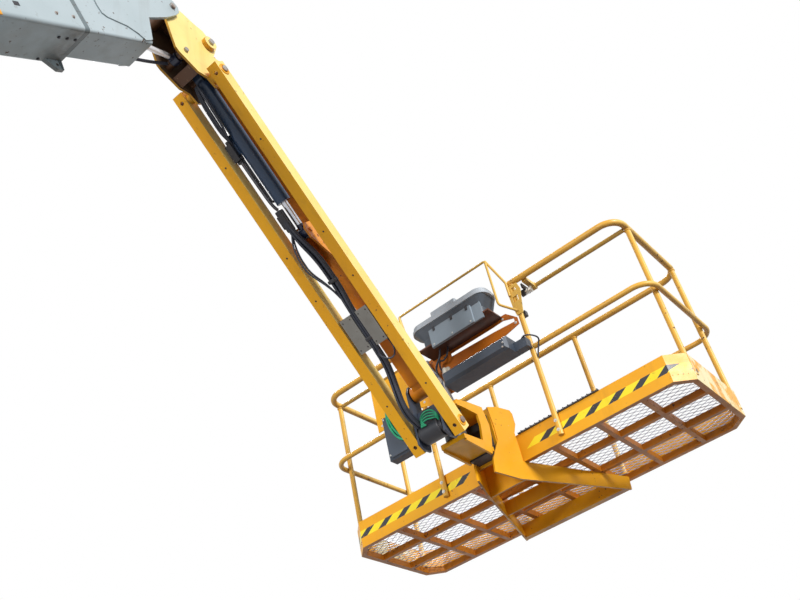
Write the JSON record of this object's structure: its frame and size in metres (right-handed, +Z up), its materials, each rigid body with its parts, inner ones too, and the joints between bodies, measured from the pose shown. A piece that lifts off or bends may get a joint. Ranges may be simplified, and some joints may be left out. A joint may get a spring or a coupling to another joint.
{
  "type": "boom lift boom end with jib and work platform",
  "caption": "Front end of a telescopic boom lift: boom stub with sliding fly section, levelled knuckle, parallelogram jib and a guarded work platform on a rotator",
  "frame": {"origin": "centre of the boom stub's rear end, where the rest of the machine's boom goes on", "axes": "+X forward along the boom in plan, +Y left, +Z up"},
  "size_m": [5.01, 2.5084, 2.2599],
  "materials": {
    "boom_paint": "satin",
    "knuckle_paint": "satin",
    "pad_plastic": "matt",
    "pin_steel": "brushed",
    "rod_chrome": "polished",
    "barrel_paint": "satin",
    "pipe_steel": "worn",
    "orange_paint": "satin",
    "guard_paint": "worn",
    "box_paint": "satin",
    "block_paint": "matt",
    "floor_steel": "galvanised",
    "toe_paint": "satin",
    "console_plastic": "matt",
    "lid_plastic": "matt",
    "slate_plastic": "matt"
  },
  "bodies": {
    "outer_boom": {"outer_boom": "boom_paint", "collar_lug": "boom_paint", "slide_pads": "pad_plastic"},
    "fly": {"fly_boom": "boom_paint", "nose_plates": "boom_paint", "nose_pin": "pin_steel", "level_pin": "pin_steel"},
    "knuckle": {"knuckle": "knuckle_paint", "knuckle_pins": "pin_steel"},
    "level_barrel": {"level_barrel": "barrel_paint"},
    "level_rod": {"level_rod": "rod_chrome"},
    "jib_beam": {"jib_beam": "orange_paint", "cylinder_bracket": "orange_paint", "box_hangers": "orange_paint", "jib_box_left": "box_paint", "jib_box_right": "box_paint"},
    "jib_links": {"jib_link_left": "orange_paint", "jib_link_right": "orange_paint"},
    "jib_barrel": {"jib_barrel": "barrel_paint", "cylinder_valve": "barrel_paint", "valve_pipe": "pipe_steel"},
    "jib_rod": {"jib_rod": "rod_chrome"},
    "jib_head": {"jib_head": "orange_paint", "head_pins": "pin_steel", "rotator_housing": "block_paint"},
    "platform": {"rotator_yoke": "orange_paint", "rotator_shaft": "pin_steel", "yoke_block": "block_paint", "platform_bracket": "orange_paint", "floor_frame": "floor_steel", "floor_mesh": "floor_steel", "toe_board": "toe_paint", "top_rail": "orange_paint", "mid_rail": "orange_paint", "hand_rail_left": "guard_paint", "hand_rail_right": "guard_paint", "rail_bracket_left": "guard_paint", "rail_bracket_right": "guard_paint", "console_panel": "orange_paint", "console_shelf": "orange_paint", "console_case": "console_plastic", "console_tray": "console_plastic", "console_lid": "lid_plastic", "console_guard": "guard_paint", "tool_box": "slate_plastic", "side_box": "slate_plastic", "post_near_right": "orange_paint", "post_near_left": "orange_paint", "post_end_right_near": "orange_paint", "post_end_right_far": "orange_paint", "post_end_left_near": "orange_paint", "post_end_left_far": "orange_paint", "post_far_right": "orange_paint", "post_far_left": "orange_paint"}
  },
  "joints": [
    {"name": "fly_slide", "type": "slide", "parent": "outer_boom", "child": "fly", "axis": [0.829, 0, 0.5592], "range_m": [-0.15, 0.3]},
    {"name": "knuckle_level", "type": "hinge", "parent": "fly", "child": "knuckle", "pos_m": [1.54682, 0, 1.17603], "axis": [0, -1, 0], "range_deg": [-30, 36]},
    {"name": "level_barrel_swing", "type": "hinge", "parent": "fly", "child": "level_barrel", "pos_m": [0.85737, 0, 0.65309], "axis": [0, -1, 0], "range_deg": [-2, 2]},
    {"name": "level_rod_slide", "type": "slide", "parent": "level_barrel", "child": "level_rod", "axis": [0.951, 0, 0.3091], "range_m": [-0.15, 0.18]},
    {"name": "jib_lift", "type": "hinge", "parent": "knuckle", "child": "jib_beam", "pos_m": [1.81182, 0, 1.10403], "axis": [0, -1, 0], "range_deg": [-10, 100]},
    {"name": "link_swing", "type": "hinge", "parent": "knuckle", "child": "jib_links", "pos_m": [1.82482, 0, 0.81903], "axis": [0, -1, 0], "range_deg": [-10, 100]},
    {"name": "jib_barrel_swing", "type": "hinge", "parent": "knuckle", "child": "jib_barrel", "pos_m": [1.81428, 0, 0.89036], "axis": [0, -1, 0], "range_deg": [-10.5, 102.5]},
    {"name": "jib_rod_slide", "type": "slide", "parent": "jib_barrel", "child": "jib_rod", "axis": [0.6704, 0, -0.742], "range_m": [-0.035, 0.33]},
    {"name": "head_level", "type": "hinge", "parent": "jib_beam", "child": "jib_head", "pos_m": [3.32162, 0, -0.5669], "axis": [0, -1, 0], "range_deg": [-100, 10]},
    {"name": "rotator", "type": "hinge", "parent": "jib_head", "child": "platform", "pos_m": [3.52862, 0, -0.7439], "axis": [0, 0, 1], "range_deg": [-90, 90]}
  ],
  "couplings": [
    {"joint": "level_barrel_swing", "follows": "knuckle_level", "ratio": 0.0129},
    {"joint": "level_rod_slide", "follows": "knuckle_level", "m_per_rad": 0.2842},
    {"joint": "link_swing", "follows": "jib_lift", "ratio": 1},
    {"joint": "jib_barrel_swing", "follows": "jib_lift", "ratio": 1.02},
    {"joint": "jib_rod_slide", "follows": "jib_lift", "m_per_rad": 0.1866},
    {"joint": "head_level", "follows": "jib_lift", "ratio": -1}
  ]
}
